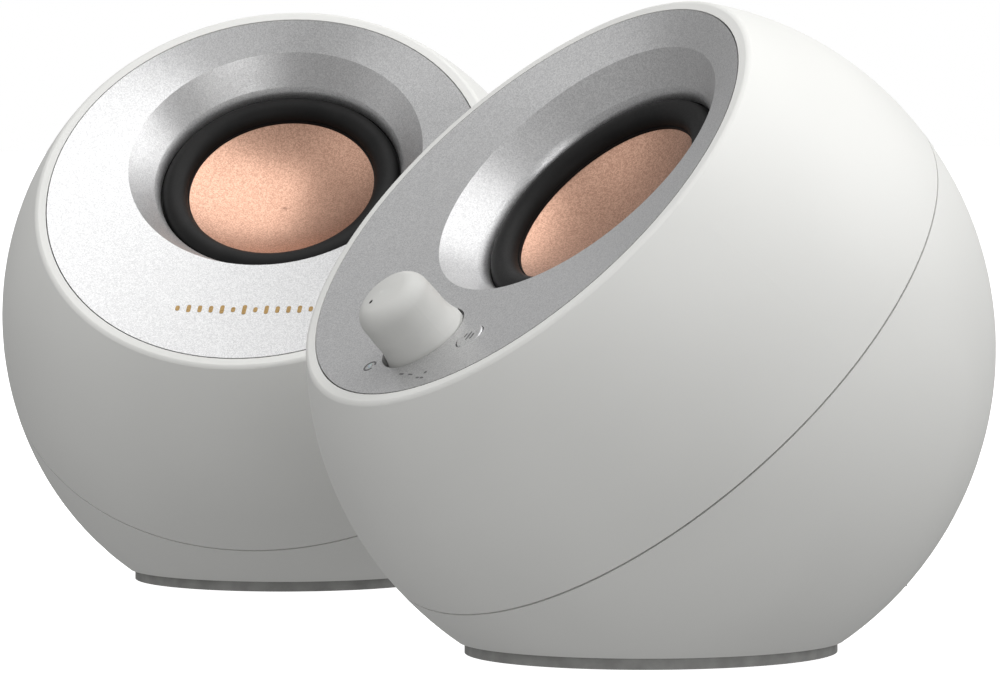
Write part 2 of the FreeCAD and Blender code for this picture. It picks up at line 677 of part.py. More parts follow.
def control_parts():
    board_top = -CONTROL_BOARD_DEPTH
    button_face = -plate_depth(*BUTTON_AT) + 0.25
    led_face = -plate_depth(*LED_AT) + 0.05
    stem = d_shaft(3.0, -6.0, 5.2, 1.5)
    pot = block((-5.5, 5.5), (KNOB_AT[1] - 5.5, KNOB_AT[1] + 5.5), (board_top, board_top + 5.0))
    bushing = disc(3.6, board_top + 5.0, -5.7, KNOB_AT)
    pot_bore = disc(3.05, board_top + 3.0, 0, KNOB_AT)
    shaft_root = disc(3.0, board_top + 3.2, -6.0, KNOB_AT)
    foot = -GUIDE_DEPTH - 0.05
    cap = disc(BUTTON_R, foot - 1.2, button_face, BUTTON_AT)
    cap = cap.makeFillet(0.3, [e for e in cap.Edges if e.BoundBox.ZMin > button_face - 1e-6])
    key = cap.fuse(disc(BUTTON_R + 0.9, foot - 1.2, foot, BUTTON_AT)).removeSplitter()
    bx, by = BUTTON_AT
    tact_top = foot - 1.2 - BUTTON_TRAVEL - 0.3
    tact = block((bx - 3, bx + 3), (by - 3, by + 3), (board_top, tact_top))
    tact = tact.cut(disc(1.65, tact_top - 1.2, 0, BUTTON_AT))
    key = key.fuse(disc(1.6, tact_top - 0.4, foot - 1.0, BUTTON_AT)).removeSplitter()
    lx, ly = LED_AT
    led = block((lx - 1.0, lx + 1.0), (ly - 0.7, ly + 0.7), (board_top, board_top + 0.8))
    lens = disc(LED_R - 0.03, board_top + 2.2, led_face, LED_AT).fuse(
        disc(LED_R + 0.6, board_top + 1.2, board_top + 2.2, LED_AT)
    )
    board = block((-15, 19), (-44, -23.5), (board_top - BOARD, board_top)).fuse(led).removeSplitter()
    made = {
        "volume_knob": volume_knob(),
        "knob_pointer": pointer(KNOB_CROWN + 0.1),
        "volume_shaft": stem.fuse(shaft_root).removeSplitter(),
        "potentiometer": pot.fuse(bushing).removeSplitter().cut(pot_bore),
        "source_button": key,
        "button_switch": tact,
        "led_lens": lens.removeSplitter(),
        "control_board": board,
    }
    return {name: moved(shape, FACE) for name, shape in made.items()}


# ---- The pair ----
def speaker(is_main):
    pieces = {
        "front_shell": front_shell(),
        "rear_shell": rear_shell(is_main),
        "face_plate": moved(face_plate(is_main), FACE),
        "socket_panel": socket_panel((-GLAND_X, AUX_X, GLAND_X) if is_main else (0,)),
    }
    pieces.update(driver_parts())
    pieces.update(radiator_parts())
    pieces.update(foot_parts(is_main))
    if is_main:
        pieces.update(amplifier_parts())
        pieces.update(gain_switch_parts())
        pieces.update(control_parts())
        pieces["usb_gland"] = cable_gland(-GLAND_X, USB_BORE_R)
        pieces["link_gland"] = cable_gland(GLAND_X, LINK_BORE_R)
    else:
        pieces["link_gland"] = cable_gland(0, LINK_BORE_R)
    return pieces


MAIN_ONLY = (
    "volume_knob", "knob_pointer", "volume_shaft", "potentiometer", "source_button", "button_switch", "led_lens",
    "control_board", "amplifier_board", "board_parts", "board_screws", "aux_jack", "gain_switch",
    "gain_slider", "usb_gland",
)


def main():
    os.makedirs("parts", exist_ok=True)
    for side, at, is_main in (("right", RIGHT_AT, True), ("left", LEFT_AT, False)):
        stand = Placement(Vector(at[0], at[1], 0), Rotation(UP_AXIS, at[2]))
        for name, shape in speaker(is_main).items():
            node = name if name in MAIN_ONLY else f"{side}_{name}"
            placed = moved(shape, stand)
            if not placed.isValid():
                print("not valid:", node)
            placed.exportStep(f"parts/{node}.step")


if __name__ == "__main__":
    main()
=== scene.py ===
import json
import math

import bmesh
import bpy
from bpy.props import FloatProperty, IntProperty, PointerProperty, StringProperty
from mathutils import Matrix, Vector
from mathutils.bvhtree import BVHTree
from mathutils.geometry import tessellate_polygon


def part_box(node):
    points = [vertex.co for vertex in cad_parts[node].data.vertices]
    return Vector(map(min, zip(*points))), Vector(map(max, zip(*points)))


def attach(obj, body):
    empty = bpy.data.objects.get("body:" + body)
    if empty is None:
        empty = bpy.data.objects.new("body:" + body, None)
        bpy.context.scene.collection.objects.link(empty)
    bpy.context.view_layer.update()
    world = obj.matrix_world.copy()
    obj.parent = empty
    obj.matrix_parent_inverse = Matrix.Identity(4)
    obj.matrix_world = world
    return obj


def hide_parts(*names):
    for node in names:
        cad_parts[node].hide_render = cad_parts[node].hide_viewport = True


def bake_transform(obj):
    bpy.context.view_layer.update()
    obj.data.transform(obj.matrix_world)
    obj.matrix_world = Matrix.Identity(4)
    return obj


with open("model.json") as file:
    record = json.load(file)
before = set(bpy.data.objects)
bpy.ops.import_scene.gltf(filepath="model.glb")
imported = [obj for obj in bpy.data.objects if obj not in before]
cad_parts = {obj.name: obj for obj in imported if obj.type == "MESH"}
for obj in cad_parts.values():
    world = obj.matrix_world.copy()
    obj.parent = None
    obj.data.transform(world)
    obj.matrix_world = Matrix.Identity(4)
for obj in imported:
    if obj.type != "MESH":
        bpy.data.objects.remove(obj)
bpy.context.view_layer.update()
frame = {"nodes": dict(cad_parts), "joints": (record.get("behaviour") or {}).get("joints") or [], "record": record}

bl_info = {
    "name": "Desktop Speaker Finisher",
    "version": (1, 0, 0),
    "blender": (4, 5, 0),
    "location": "View3D > Sidebar > Speakers",
    "description": "Gives a pair of desktop speakers their finishes, rubber rolls, printed marks and a studio",
    "category": "Object",
}

MM = 0.001
SIDES = ("right", "left")
Z = Vector((0, 0, 1))

# Rubber rolls
DRIVER_LAP = 0.5 * MM          # the roll starts this far inside the diaphragm's edge
RADIATOR_SLACK = 0.2 * MM      # and this far outside the radiator's disc
ROLL_REACH = 4.5 * MM          # from the disc's edge to the roll's outer foot
ROLL_FULLNESS = 0.98           # height of the crest over half its width

# Printed films
FILM = 0.03 * MM
FILM_GAP = 0.005 * MM
LAMP_RING_R = 1.1 * MM
PRINT_FROM = 20 * MM           # films are cast onto their node from this far above it

# Studio, measured from the middle of the main speaker's foot
VIEW_ALONG = Vector((-0.90663, 0.41958, -0.04489)).normalized()
CAMERA_AT = Vector((866.9, -430.2, 98.0)) * MM
LIGHT_AIM = Vector((-0.05, 0.0, 0.06))
# Each light: name, metres to the right, away from the camera and up, size in metres, watts.
SOFT_LIGHTS = (
    ("top_softbox", 0.25, -0.05, 1.3, (1.6, 1.6), 12.5),
    ("right_softbox", 1.2, 0.2, 0.9, (1.0, 1.0), 7.0),
    ("left_panel", -1.3, -0.3, 0.7, (1.2, 1.2), 2.0),
    ("low_panel", 0.35, -1.3, 0.1, (1.2, 0.5), 4.5),
)


# ---------------------------------------------------------------- where things are
def middle(node):
    low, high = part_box(node)
    return (low + high) / 2


def joint_named(name):
    for joint in frame["joints"]:
        if joint["name"] == name:
            return joint
    raise RuntimeError(f"the frame has no joint named {name}")


def normal_of(side):
    """The way out of a speaker's face: the direction that its diaphragm moves in."""
    return Vector(joint_named(f"{side}_cone_travel")["axis"]).normalized()


def back_of(side):
    return Vector(joint_named(f"{side}_radiator_travel")["axis"]).normalized()


def frame_on(origin, out, up=Z):
    """A matrix with its Z along out and its Y as near to up as it goes."""
    z = out.normalized()
    x = up.cross(z).normalized()
    y = z.cross(x)
    rot = Matrix((x, y, z)).transposed().to_4x4()
    return Matrix.Translation(origin) @ rot


def driver_frame(side):
    """Origin on the driver's axis at the edge of the diaphragm, Z out of the face, Y up the slope."""
    n = normal_of(side)
    node = frame["nodes"][f"{side}_driver_cone"]
    heights = [v.co.dot(n) for v in node.data.vertices]
    centre = axis_point(f"{side}_driver_cone", n)
    top = max(heights)
    return frame_on(centre + n * (top - centre.dot(n)), n)


def axis_point(node, axis):
    """A point on the axis of a round node: the middle of its spread across the axis."""
    rot = frame_on(Vector((0, 0, 0)), axis).to_3x3()
    inverse = rot.inverted()
    flat = [inverse @ v.co for v in frame["nodes"][node].data.vertices]
    x = (min(p.x for p in flat) + max(p.x for p in flat)) / 2
    y = (min(p.y for p in flat) + max(p.y for p in flat)) / 2
    z = (min(p.z for p in flat) + max(p.z for p in flat)) / 2
    return rot @ Vector((x, y, z))


def radius_of(node, axis):
    """Half of a round node's width across its axis."""
    inverse = frame_on(Vector((0, 0, 0)), axis).to_3x3().inverted()
    xs = [(inverse @ v.co).x for v in frame["nodes"][node].data.vertices]
    return (max(xs) - min(xs)) / 2


def face_frame(side):
    """Origin in the middle of the face plate's rim, Z out of the face, Y up the slope."""
    n = normal_of(side)
    centre = axis_point(f"{side}_face_plate", n)
    top = max(v.co.dot(n) for v in frame["nodes"][f"{side}_face_plate"].data.vertices)
    return frame_on(centre + n * (top - centre.dot(n)), n)


# ---------------------------------------------------------------- meshes
def new_object(name, bm, material, smooth_angle=math.radians(35)):
    mesh = bpy.data.meshes.new(name)
    bmesh.ops.recalc_face_normals(bm, faces=bm.faces[:])
    bm.to_mesh(mesh)
    bm.free()
    for polygon in mesh.polygons:
        polygon.use_smooth = True
    mesh.set_sharp_from_angle(angle=smooth_angle)
    obj = bpy.data.objects.new(name, mesh)
    bpy.context.scene.collection.objects.link(obj)
    obj.data.materials.append(material)
    return obj


def lathe_sector(profile, matrix, start, end, facets):
    """Part of a ring turned from a closed profile of (radius, height) points, open at its two ends."""
    bm = bmesh.new()
    rings = []
    for i in range(facets + 1):
        angle = start + (end - start) * i / facets
        ring = [bm.verts.new(matrix @ Vector((r * math.cos(angle), r * math.sin(angle), z))) for r, z in profile]
        rings.append(ring)
    count = len(profile)
    for here, there in zip(rings, rings[1:]):
        for j in range(count):
            k = (j + 1) % count
            bm.faces.new((here[j], here[k], there[k], there[j]))
    return bm


def welded(pieces, name):
    """One closed mesh from open pieces that meet edge to edge."""
    with bpy.context.temp_override(active_object=pieces[0], selected_editable_objects=pieces):
        bpy.ops.object.join()
    whole = pieces[0]
    whole.name = name
    bm = bmesh.new()
    bm.from_mesh(whole.data)
    bmesh.ops.remove_doubles(bm, verts=bm.verts[:], dist=0.002 * MM)
    bmesh.ops.recalc_face_normals(bm, faces=bm.faces[:])
    bm.to_mesh(whole.data)
    bm.free()
    return whole


def half_roll_profile(inner_lip, inner, outer, outer_lip, inner_z, outer_z, rise, skin, steps=22):
    """Section of a half-roll surround: a flat lip, a round crest, a flat lip."""
    def crest(offset):
        points = []
        mid = (inner + outer) / 2
        half = (outer - inner) / 2
        for i in range(steps + 1):
            t = i / steps
            r = mid - half * math.cos(math.pi * t)
            base = inner_z + (outer_z - inner_z) * t
            swell = math.sin(math.pi * t) ** 0.9
            out = Vector((-math.cos(math.pi * t), math.sin(math.pi * t)))
            points.append((r + offset * out.x * swell, base + rise * swell + offset * out.y))
        return points
    upper = [(inner_lip, inner_z)] + crest(0.0) + [(outer_lip, outer_z)]
    lower = [(outer_lip, outer_z - skin), (outer, outer_z - skin)]
    lower += [(r, z) for r, z in reversed(crest(-skin)[1:-1])]
    lower += [(inner, inner_z - skin), (inner_lip, inner_z - skin)]
    return upper + lower


# ---------------------------------------------------------------- nodes of a material
def linear(hex_colour):
    """sRGB hex, such as #E4E4E1, to linear colour with alpha."""
    values = [int(hex_colour.lstrip("#")[i:i + 2], 16) / 255 for i in (0, 2, 4)]
    return [v / 12.92 if v <= 0.04045 else ((v + 0.055) / 1.055) ** 2.4 for v in values] + [1.0]


def add_node(tree, kind, settings=None, inputs=None, links=None):
    """Adds a node with its settings, its socket values and what is linked into it."""
    node = tree.nodes.new(kind)
    for key, value in (settings or {}).items():
        setattr(node, key, value)
    for key, value in (inputs or {}).items():
        node.inputs[key].default_value = value
    for key, socket in (links or {}).items():
        tree.links.new(socket, node.inputs[key])
    return node


def new_material(name, **surface):
    """A material with one Principled shader whose sockets are given by their names."""
    material = bpy.data.materials.new(name)
    material.use_nodes = True
    tree = material.node_tree
    tree.nodes.clear()
    shader = add_node(tree, "ShaderNodeBsdfPrincipled", inputs={k.replace("_", " "): v for k, v in surface.items()})
    add_node(tree, "ShaderNodeOutputMaterial", links={"Surface": shader.outputs[0]})
    place = add_node(tree, "ShaderNodeTexCoord").outputs["Object"]
    return material, tree, shader, place


def per_metre(size_mm):
    """Texture scale for a pattern whose features are this many millimetres apart."""
    return 1000.0 / size_mm


def two_tone(tree, place, size_mm, dark, light, detail=3.0, low=0.35, high=0.65):
    """A mottle between two colours, with features of a real size."""
    noise = add_node(tree, "ShaderNodeTexNoise", inputs={"Scale": per_metre(size_mm), "Detail": detail},
                     links={"Vector": place})
    ramp = add_node(tree, "ShaderNodeValToRGB", links={"Fac": noise.outputs["Fac"]})
    ramp.color_ramp.elements[0].position = low
    ramp.color_ramp.elements[0].color = linear(dark)
    ramp.color_ramp.elements[1].position = high
    ramp.color_ramp.elements[1].color = linear(light)
    return ramp.outputs["Color"]


def grain(tree, place, shader, size_mm, depth_mm, detail=2.0, strength=0.5):
    """Fine bump of a real size and depth on the shader's normal."""
    noise = add_node(tree, "ShaderNodeTexNoise", inputs={"Scale": per_metre(size_mm), "Detail": detail},
                     links={"Vector": place})
    bump = add_node(tree, "ShaderNodeBump", inputs={"Strength": strength, "Distance": depth_mm * MM},
                    links={"Height": noise.outputs["Fac"]})
    tree.links.new(bump.outputs["Normal"], shader.inputs["Normal"])
    return noise, bump


def spread(tree, source, low, high):
    """Carries a 0 to 1 value into a range."""
    node = add_node(tree, "ShaderNodeMapRange", inputs={"To Min": low, "To Max": high}, links={"Value": source})
    return node.outputs["Result"]


# ---------------------------------------------------------------- materials
def white_abs(colour):
    # ABS, injection moulded in a spark-eroded mould: a soft even white with a very fine, dry grain.
    # The real grain is near 0.1 mm; it is drawn at 0.35 mm so that it still shows.
    material, tree, shader, place = new_material("abs_spark_eroded_white", Roughness=0.52, IOR=1.53,
                                                 Specular_IOR_Level=0.42)
    tone = two_tone(tree, place, 38.0, colour.shell_shade, colour.shell, detail=1.0)
    tree.links.new(tone, shader.inputs["Base Color"])
    noise, _ = grain(tree, place, shader, 0.35, 0.02, detail=2.0, strength=0.35)
    tree.links.new(spread(tree, noise.outputs["Fac"], 0.46, 0.58), shader.inputs["Roughness"])
    return material


def silver_lacquer(colour):
    # Polycarbonate plate, sprayed with silver flake lacquer: a bright metallic skin in which single flakes
    # catch the light. The real flakes are near 0.05 mm; they are drawn at 0.17 mm so that they still sparkle.
    material, tree, shader, place = new_material("lacquer_sprayed_silver_flake", Metallic=0.82, Roughness=0.4)
    cells = add_node(tree, "ShaderNodeTexVoronoi", inputs={"Scale": per_metre(0.17), "Randomness": 1.0},
                     links={"Vector": place})
    flake = add_node(tree, "ShaderNodeSeparateColor", links={"Color": cells.outputs["Color"]})
    ramp = add_node(tree, "ShaderNodeValToRGB", links={"Fac": flake.outputs["Red"]})
    ramp.color_ramp.elements[0].position = 0.0
    ramp.color_ramp.elements[0].color = linear(colour.plate_shade)
    ramp.color_ramp.elements[1].position = 1.0
    ramp.color_ramp.elements[1].color = linear(colour.plate)
    tree.links.new(ramp.outputs["Color"], shader.inputs["Base Color"])
    tree.links.new(spread(tree, flake.outputs["Green"], 0.3, 0.5), shader.inputs["Roughness"])
    bump = add_node(tree, "ShaderNodeBump", inputs={"Strength": 0.12, "Distance": 0.03 * MM},
                    links={"Height": flake.outputs["Blue"]})
    tree.links.new(bump.outputs["Normal"], shader.inputs["Normal"])
    return material


def copper_dish(colour):
    # Aluminium diaphragm, pressed, fine-blasted and anodised rose copper: a satin metal with a tight sparkle
    # and a broad soft highlight. The blast grain is near 0.08 mm and is drawn at 0.2 mm.
    material, tree, shader, place = new_material("aluminium_blasted_anodised_copper", Metallic=1.0, Roughness=0.36)
    cells = add_node(tree, "ShaderNodeTexVoronoi", inputs={"Scale": per_metre(0.2), "Randomness": 1.0},
                     links={"Vector": place})
    flake = add_node(tree, "ShaderNodeSeparateColor", links={"Color": cells.outputs["Color"]})
    ramp = add_node(tree, "ShaderNodeValToRGB", links={"Fac": flake.outputs["Red"]})
    ramp.color_ramp.elements[0].color = linear(colour.cone_shade)
    ramp.color_ramp.elements[1].color = linear(colour.cone)
    tree.links.new(ramp.outputs["Color"], shader.inputs["Base Color"])
    tree.links.new(spread(tree, flake.outputs["Green"], 0.28, 0.44), shader.inputs["Roughness"])
    bump = add_node(tree, "ShaderNodeBump", inputs={"Strength": 0.16, "Distance": 0.03 * MM},
                    links={"Height": flake.outputs["Blue"]})
    tree.links.new(bump.outputs["Normal"], shader.inputs["Normal"])
    return material


def butyl_rubber(colour):
    # Butyl rubber, pressed in a polished mould: deep black with a faint grey sheen on the crest of the roll.
    material, tree, shader, place = new_material("rubber_pressed_butyl", Roughness=0.56, IOR=1.52,
                                                 Specular_IOR_Level=0.22)
    tone = two_tone(tree, place, 6.0, colour.rubber, "#131212", detail=4.0)
    tree.links.new(tone, shader.inputs["Base Color"])
    noise, _ = grain(tree, place, shader, 0.4, 0.015, strength=0.3)
    tree.links.new(spread(tree, noise.outputs["Fac"], 0.48, 0.64), shader.inputs["Roughness"])
    return material


def foot_rubber(colour):
    # Thermoplastic rubber, moulded: a dull mid grey that scatters light softly and picks up dust.
    material, tree, shader, place = new_material("rubber_moulded_grey_foot", Roughness=0.78, IOR=1.5,
                                                 Specular_IOR_Level=0.25)
    tone = two_tone(tree, place, 4.0, colour.foot_shade, colour.foot, detail=5.0)
    tree.links.new(tone, shader.inputs["Base Color"])
    grain(tree, place, shader, 0.45, 0.03, strength=0.45)
    return material


def knob_plastic(colour):
    # ABS with a soft-touch spray: an even matte grey-white with almost no highlight.
    material, tree, shader, place = new_material("abs_soft_touch_sprayed", Roughness=0.6, IOR=1.5,
                                                 Specular_IOR_Level=0.3)
    tone = two_tone(tree, place, 9.0, colour.knob_shade, colour.knob, detail=1.0)
    tree.links.new(tone, shader.inputs["Base Color"])
    noise, _ = grain(tree, place, shader, 0.3, 0.012, strength=0.3)
    tree.links.new(spread(tree, noise.outputs["Fac"], 0.55, 0.66), shader.inputs["Roughness"])
    return material


def plain_plastic(name, dark, light, roughness, grain_mm=0.5, depth_mm=0.02, level=0.4):
    """Moulded thermoplastic with a fine eroded grain; the two colours are its slight mottle."""
    material, tree, shader, place = new_material(name, Roughness=roughness, IOR=1.53, Specular_IOR_Level=level)
    tree.links.new(two_tone(tree, place, 7.0, dark, light), shader.inputs["Base Color"])
    noise, _ = grain(tree, place, shader, grain_mm, depth_mm, strength=0.4)
    tree.links.new(spread(tree, noise.outputs["Fac"], roughness - 0.07, roughness + 0.07),
                   shader.inputs["Roughness"])
    return material


def plain_metal(name, dark, light, roughness, pattern_mm, depth_mm=0.01):
    """Bare or plated metal with a mottle and fine bump of a real size."""
    material, tree, shader, place = new_material(name, Metallic=1.0, Roughness=roughness)
    tree.links.new(two_tone(tree, place, pattern_mm, dark, light, detail=5.0), shader.inputs["Base Color"])
    noise, _ = grain(tree, place, shader, pattern_mm / 4, depth_mm, detail=4.0, strength=0.35)
    tree.links.new(spread(tree, noise.outputs["Fac"], roughness - 0.08, roughness + 0.1),
                   shader.inputs["Roughness"])
    return material


def printed_ink(name, dark, light, metallic=0.0, roughness=0.45):
    """Pad-printed or foiled mark: a thin even film with pinholes that let it look printed."""
    material, tree, shader, place = new_material(name, Roughness=roughness, Metallic=metallic)
    tree.links.new(two_tone(tree, place, 0.5, dark, light, detail=3.0, low=0.2, high=0.6),
                   shader.inputs["Base Color"])
    return material


def frosted_lens(colour):
    # Acrylic light pipe, moulded and frosted: a milky dot that glows slightly at its rim.
    material, tree, shader, place = new_material("acrylic_frosted", Roughness=0.45, IOR=1.49,
                                                 Subsurface_Weight=0.4, Subsurface_Scale=0.002)
    tree.links.new(two_tone(tree, place, 1.2, "#B9BCBE", colour.lens), shader.inputs["Base Color"])
    return material


def woven_spider():
    # Cotton cloth dipped in phenolic resin and pressed: amber threads 0.5 mm apart.
    material, tree, shader, place = new_material("cotton_woven_phenolic", Roughness=0.8)
    wave = add_node(tree, "ShaderNodeTexWave", {"wave_type": "BANDS"},
                    {"Scale": per_metre(0.5) / 20, "Distortion": 1.5}, {"Vector": place})
    ramp = add_node(tree, "ShaderNodeValToRGB", links={"Fac": wave.outputs["Fac"]})
    ramp.color_ramp.elements[0].color = linear("#8A6A33")
    ramp.color_ramp.elements[1].color = linear("#C9A764")
    tree.links.new(ramp.outputs["Color"], shader.inputs["Base Color"])
    return material


def make_materials(colour):
    return {
        "shell": white_abs(colour),
        "silver": silver_lacquer(colour),
        "copper": copper_dish(colour),
        "rubber": butyl_rubber(colour),
        "foot": foot_rubber(colour),
        "knob": knob_plastic(colour),
        "button": silver_lacquer(colour),
        "lens": frosted_lens(colour),
        # ABS, moulded black: a dull charcoal with eroded grain on the back panels.
        "black_plastic": plain_plastic("abs_moulded_black", "#121212", "#1C1C1D", 0.58),
        # Polypropylene, moulded mid grey: the plate under the foot.
        "grey_plastic": plain_plastic("polypropylene_moulded_grey", "#5C5D5E", "#6C6D6E", 0.55),
        # Polypropylene with mica, moulded: the stiff dark disc of the passive radiator.
        "radiator": plain_plastic("polypropylene_mica_moulded", "#18181A", "#242427", 0.42, 0.6, 0.015, 0.5),
        # Pad-printed ink: a flat dark dot.
        "mark": printed_ink("ink_pad_printed_black", "#0D0D0D", "#1B1B1B"),
        # Steel, zinc plated: bluish silver with a cloudy spangle.
        "steel": plain_metal("steel_zinc_plated", "#8E9296", "#C3C7CA", 0.34, 3.0),
        # Ferrite, sintered and ground: dull near-black ceramic.
        "ferrite": plain_plastic("ferrite_sintered_ground", "#202022", "#303033", 0.7, 0.3, 0.03, 0.3),
        # Glass epoxy under green solder mask: glossy with a faint weave.
        "board": plain_plastic("glass_epoxy_solder_masked", "#0B3B22", "#13532F", 0.32, 0.8, 0.01, 0.5),
        # Copper wire, enamelled and wound: red-brown turns.
        "coil": plain_metal("copper_wire_enamelled", "#7A3B1C", "#B4622F", 0.38, 0.6),
        "cloth": woven_spider(),
        # Closed-cell foam, die cut: soft black with open pores.
        "foam": plain_plastic("foam_die_cut", "#0F0F0F", "#1A1A1A", 0.9, 0.7, 0.08, 0.2),
    }


MATERIALS = {}


def material_for(slot):
    settings = bpy.context.scene.speaker_colours
    if not MATERIALS:
        MATERIALS.update(make_materials(settings))
    return MATERIALS[slot]


def finish_nodes(endings):
    """Gives every CAD node whose name ends in one of these its slot's material; fails if one is missing."""
    slots = {s["node"]: s["material_slot"] for s in frame["record"]["subparts"]}
    for ending in endings:
        found = [n for n in frame["nodes"] if n == ending or n in (f"right_{ending}", f"left_{ending}")]
        if not found:
            raise RuntimeError(f"the frame has no node named {ending}")
        for node in found:
            data = frame["nodes"][node].data
            data.materials.clear()
            data.materials.append(material_for(slots[node]))


# ---------------------------------------------------------------- printed films
def film(name, outlines, matrix, onto, material):
    """Thin printed shapes laid on a node. Outlines are closed loops in the matrix's XY plane, in metres."""
    data = frame["nodes"][onto].data
    tree = BVHTree.FromPolygons([v.co for v in data.vertices], [tuple(p.vertices) for p in data.polygons])
    out = (matrix.to_3x3() @ Z).normalized()
    bm = bmesh.new()
    for loop in outlines:
        flat = bmesh.new()
        corners = [flat.verts.new((x, y, 0)) for x, y in loop]
        for triangle in tessellate_polygon([[v.co for v in corners]]):
            flat.faces.new([corners[i] for i in triangle])
        bmesh.ops.subdivide_edges(flat, edges=flat.edges[:], cuts=1, use_grid_fill=True)
        flat.verts.index_update()
        lower, upper = [], []
        for v in flat.verts:
            start = matrix @ v.co + out * PRINT_FROM
            hit = tree.ray_cast(start, -out)[0]
            if hit is None:
                raise RuntimeError(f"{name} does not lie on {onto}")
            lower.append(bm.verts.new(hit + out * FILM_GAP))
            upper.append(bm.verts.new(hit + out * (FILM_GAP + FILM)))
        for face in flat.faces:
            ids = [v.index for v in face.verts]
            bm.faces.new([upper[i] for i in ids])
            bm.faces.new([lower[i] for i in reversed(ids)])
        for edge in flat.edges:
            if len(edge.link_faces) == 1:
                a, b = (v.index for v in edge.verts)
                bm.faces.new((lower[a], lower[b], upper[b], upper[a]))
        flat.free()
    return new_object(name, bm, material)


def bar(x, y, width, height):
    """A bar with rounded ends, as a closed loop about (x, y)."""
    r = min(width, height) / 2
    points = []
    for cx, cy, start in ((width / 2 - r, height / 2 - r, 0), (-width / 2 + r, height / 2 - r, 90),
                          (-width / 2 + r, -height / 2 + r, 180), (width / 2 - r, -height / 2 + r, 270)):
        for i in range(5):
            a = math.radians(start + 22.5 * i)
            points.append((x + cx + r * math.cos(a), y + cy + r * math.sin(a)))
    return distinct(points)


def distinct(points):
    kept = []
    for p in points:
        if not kept or math.dist(p, kept[-1]) > 1e-7:
            kept.append(p)
    if math.dist(kept[0], kept[-1]) <= 1e-7:
        kept.pop()
    return kept


def arc_band(x, y, radius, width, start, end, steps=28):
    """A curved stroke of a circle, as a closed loop."""
    angles = [math.radians(start + (end - start) * i / steps) for i in range(steps + 1)]
    outer = [(x + (radius + width / 2) * math.cos(a), y + (radius + width / 2) * math.sin(a)) for a in angles]
    inner = [(x + (radius - width / 2) * math.cos(a), y + (radius - width / 2) * math.sin(a)) for a in angles]
    return outer + inner[::-1]


def dot(x, y, radius, steps=20):
    return [(x + radius * math.cos(2 * math.pi * i / steps), y + radius * math.sin(2 * math.pi * i / steps))
            for i in range(steps)]


# ---------------------------------------------------------------- settings
class SpeakerColours(bpy.types.PropertyGroup):
    shell: StringProperty(name="Shell", description="White of the shells, sRGB hex", default="#E6E6E3")
    shell_shade: StringProperty(name="Shell shade", description="Darker tone in the shell's mottle, sRGB hex",
                                default="#E1E1DE")
    plate: StringProperty(name="Plate", description="Bright flakes of the silver lacquer, sRGB hex",
                          default="#DADADA")
    plate_shade: StringProperty(name="Plate shade", description="Dark flakes of the silver lacquer, sRGB hex",
                                default="#BBBBBC")
    cone: StringProperty(name="Diaphragm", description="Bright grain of the copper dish, sRGB hex",
                         default="#DDB39C")
    cone_shade: StringProperty(name="Diaphragm shade", description="Dark grain of the copper dish, sRGB hex",
                               default="#B58C78")
    rubber: StringProperty(name="Rubber", description="Black of the half rolls, sRGB hex", default="#0B0B0B")
    foot: StringProperty(name="Foot", description="Grey of the foot ring, sRGB hex", default="#9C9C9A")
    foot_shade: StringProperty(name="Foot shade", description="Darker tone of the foot ring, sRGB hex",
                               default="#8A8A88")
    knob: StringProperty(name="Knob", description="Grey-white of the knob, sRGB hex", default="#D4D4D1")
    knob_shade: StringProperty(name="Knob shade", description="Darker tone of the knob, sRGB hex",
                               default="#CCCCC9")
    lens: StringProperty(name="Lens", description="Milky white of the light pipe, sRGB hex", default="#D9DBDD")


class SpeakerSizes(bpy.types.PropertyGroup):
    roll_sectors: IntProperty(name="Roll sectors", description="Sectors that each rubber roll bends in",
                              default=16, min=6)
    sector_facets: IntProperty(name="Sector facets", description="Facets round each sector", default=10, min=2)
    skin: FloatProperty(name="Rubber skin", description="Thickness of the rubber rolls", default=0.45 * MM,
                        unit="LENGTH", precision=5)
    mark_width: FloatProperty(name="Mark width", description="Width of the foiled mark on the second speaker",
                              default=26.0 * MM, unit="LENGTH", precision=4)
    mark_height: FloatProperty(name="Mark height", description="Height of the tallest bar of the mark",
                               default=2.8 * MM, unit="LENGTH", precision=4)
    mark_bars: IntProperty(name="Mark bars", description="How many bars the mark has", default=13, min=3)
    mark_drop: FloatProperty(name="Mark drop", description="How far the mark stands below the face's middle",
                             default=31.5 * MM, unit="LENGTH", precision=4)
    stroke: FloatProperty(name="Print stroke", description="Line width of the small printed signs",
                          default=0.34 * MM, unit="LENGTH", precision=5)
    lens_mm: FloatProperty(name="Focal length", description="The studio camera's lens", default=200.8, min=20.0)
    floor_size: FloatProperty(name="Floor", description="Side of the square floor", default=14.0, unit="LENGTH")


# ---------------------------------------------------------------- the pieces
class SPEAKERS_OT_shells(bpy.types.Operator):
    """Finish the moulded white shells of both speakers"""
    bl_idname = "speakers.shells"
    bl_label = "White shells"

    def execute(self, context):
        finish_nodes(("front_shell", "rear_shell"))
        return {"FINISHED"}


class SPEAKERS_OT_face_plates(bpy.types.Operator):
    """Finish the dished silver face plates and their waveguides"""
    bl_idname = "speakers.face_plates"
    bl_label = "Face plates"

    def execute(self, context):
        finish_nodes(("face_plate",))
        return {"FINISHED"}


class SPEAKERS_OT_drivers(bpy.types.Operator):
    """Finish the copper diaphragms and turn the rubber rolls that let them move"""
    bl_idname = "speakers.drivers"
    bl_label = "Drivers"

    def execute(self, context):
        sizes = context.scene.speaker_sizes
        finish_nodes(("driver_cone", "driver_surround"))
        for side in SIDES:
            make_roll(side, "driver", driver_frame(side), normal_of(side), sizes)
        return {"FINISHED"}


